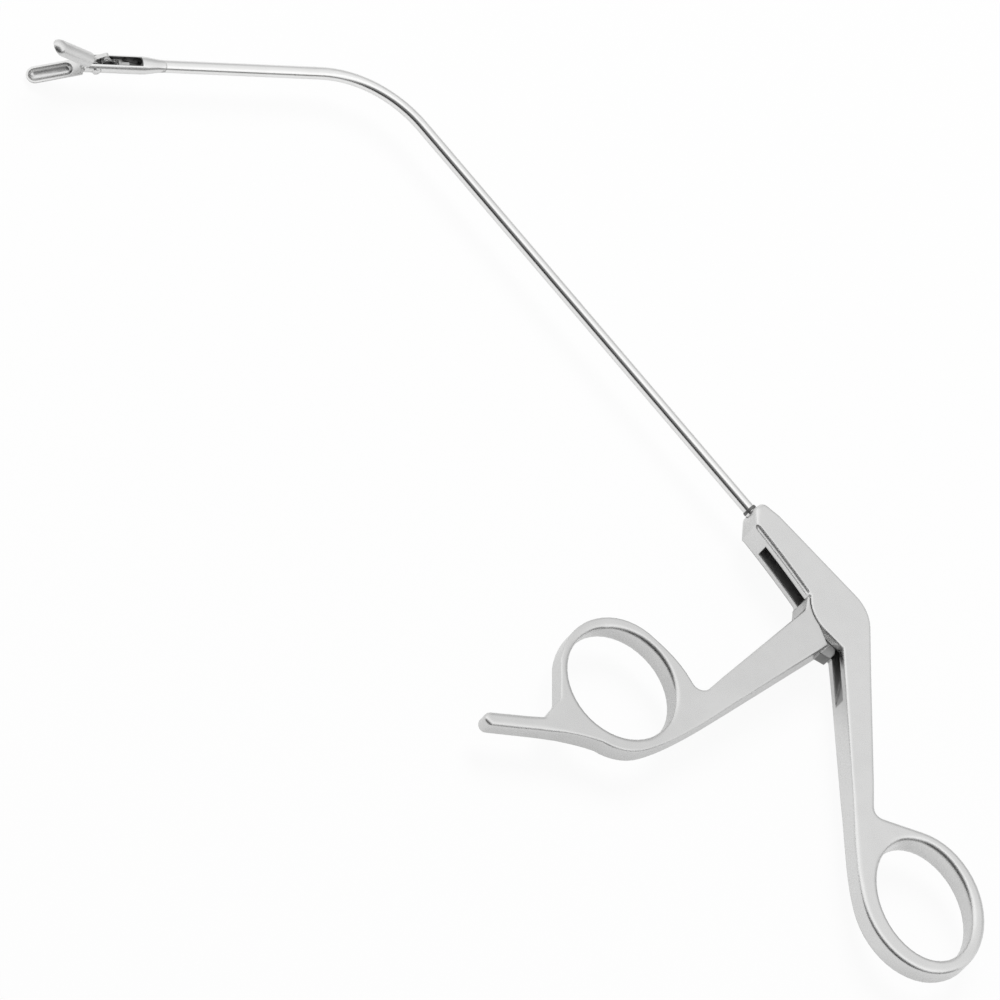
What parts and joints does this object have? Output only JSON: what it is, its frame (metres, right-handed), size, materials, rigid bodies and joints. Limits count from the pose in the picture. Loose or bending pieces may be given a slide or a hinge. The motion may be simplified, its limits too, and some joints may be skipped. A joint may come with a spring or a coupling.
{
  "type": "laryngeal cup forceps",
  "caption": "Hand instrument with a slim bent shaft, a pair of ring handles and opposed cup jaws that close when the handles are squeezed, for taking tissue from the larynx.",
  "frame": {"origin": "point on the housing's lower flat side, under the axis of the straight shaft, 18 mm behind the nose end", "axes": "+X along the straight shaft towards the jaws, +Y towards the finger ring, +Z out of the upper flat side; the instrument lies on its side"},
  "size_m": [0.2703, 0.0974, 0.0153],
  "materials": {
    "satin_steel": "satin stainless steel",
    "polished_steel": "finely polished stainless steel",
    "soldered_steel": "darkened by soldering"
  },
  "bodies": {
    "body": {"housing_rear_handle": "satin_steel", "lever_pivot_pin": "satin_steel", "shaft_collar": "soldered_steel", "shaft_tube": "polished_steel", "jaw_fork": "polished_steel", "jaw_pivot_pin": "polished_steel", "draw_wire": "polished_steel"},
    "lever": {"front_handle": "satin_steel", "lever_link_pin": "satin_steel"},
    "drive_rod": {"drive_rod": "satin_steel", "rod_end_pin": "satin_steel"},
    "drive_link": {"drive_link": "satin_steel"},
    "yoke": {"distal_yoke": "satin_steel", "yoke_pin": "satin_steel"},
    "upper_jaw": {"upper_jaw": "satin_steel", "upper_tail_pin": "satin_steel"},
    "lower_jaw": {"lower_jaw": "satin_steel", "lower_tail_pin": "satin_steel"},
    "upper_link": {"upper_link": "satin_steel"},
    "lower_link": {"lower_link": "satin_steel"}
  },
  "joints": [
    {"name": "lever_hinge", "type": "hinge", "parent": "body", "child": "lever", "pos_m": [-0.011, -0.0002, 0.00375], "axis": [0, 0, 1], "range_deg": [0, 18]},
    {"name": "rod_slide", "type": "slide", "parent": "body", "child": "drive_rod", "axis": [-1, 0, 0], "range_m": [0, 0.0015]},
    {"name": "drive_link_hinge", "type": "hinge", "parent": "drive_rod", "child": "drive_link", "pos_m": [0.0025, 0, 0.00375], "axis": [0, 0, 1], "range_deg": [0, 0.8268]},
    {"name": "yoke_slide", "type": "slide", "parent": "body", "child": "yoke", "axis": [-0.549, -0.8358, 0], "range_m": [0, 0.0015]},
    {"name": "upper_jaw_hinge", "type": "hinge", "parent": "body", "child": "upper_jaw", "pos_m": [0.17631, 0.05698, 0.00375], "axis": [-0.8358, 0.549, 0], "range_deg": [0, 27]},
    {"name": "lower_jaw_hinge", "type": "hinge", "parent": "body", "child": "lower_jaw", "pos_m": [0.17631, 0.05698, 0.00375], "axis": [0.8358, -0.549, 0], "range_deg": [0, 27]},
    {"name": "upper_link_hinge", "type": "hinge", "parent": "yoke", "child": "upper_link", "pos_m": [0.17379, 0.05314, 0.00375], "axis": [0.8358, -0.549, 0], "range_deg": [0, 15.97]},
    {"name": "lower_link_hinge", "type": "hinge", "parent": "yoke", "child": "lower_link", "pos_m": [0.17379, 0.05314, 0.00375], "axis": [-0.8358, 0.549, 0], "range_deg": [0, 15.97]}
  ],
  "couplings": [
    {"joint": "rod_slide", "follows": "lever_hinge", "m_per_rad": 0.0047782},
    {"joint": "drive_link_hinge", "follows": "lever_hinge", "ratio": 0.045928},
    {"joint": "yoke_slide", "follows": "lever_hinge", "m_per_rad": 0.0047782},
    {"joint": "upper_jaw_hinge", "follows": "lever_hinge", "ratio": 1.5},
    {"joint": "lower_jaw_hinge", "follows": "lever_hinge", "ratio": 1.5},
    {"joint": "upper_link_hinge", "follows": "lever_hinge", "ratio": 0.88725},
    {"joint": "lower_link_hinge", "follows": "lever_hinge", "ratio": 0.88725}
  ]
}
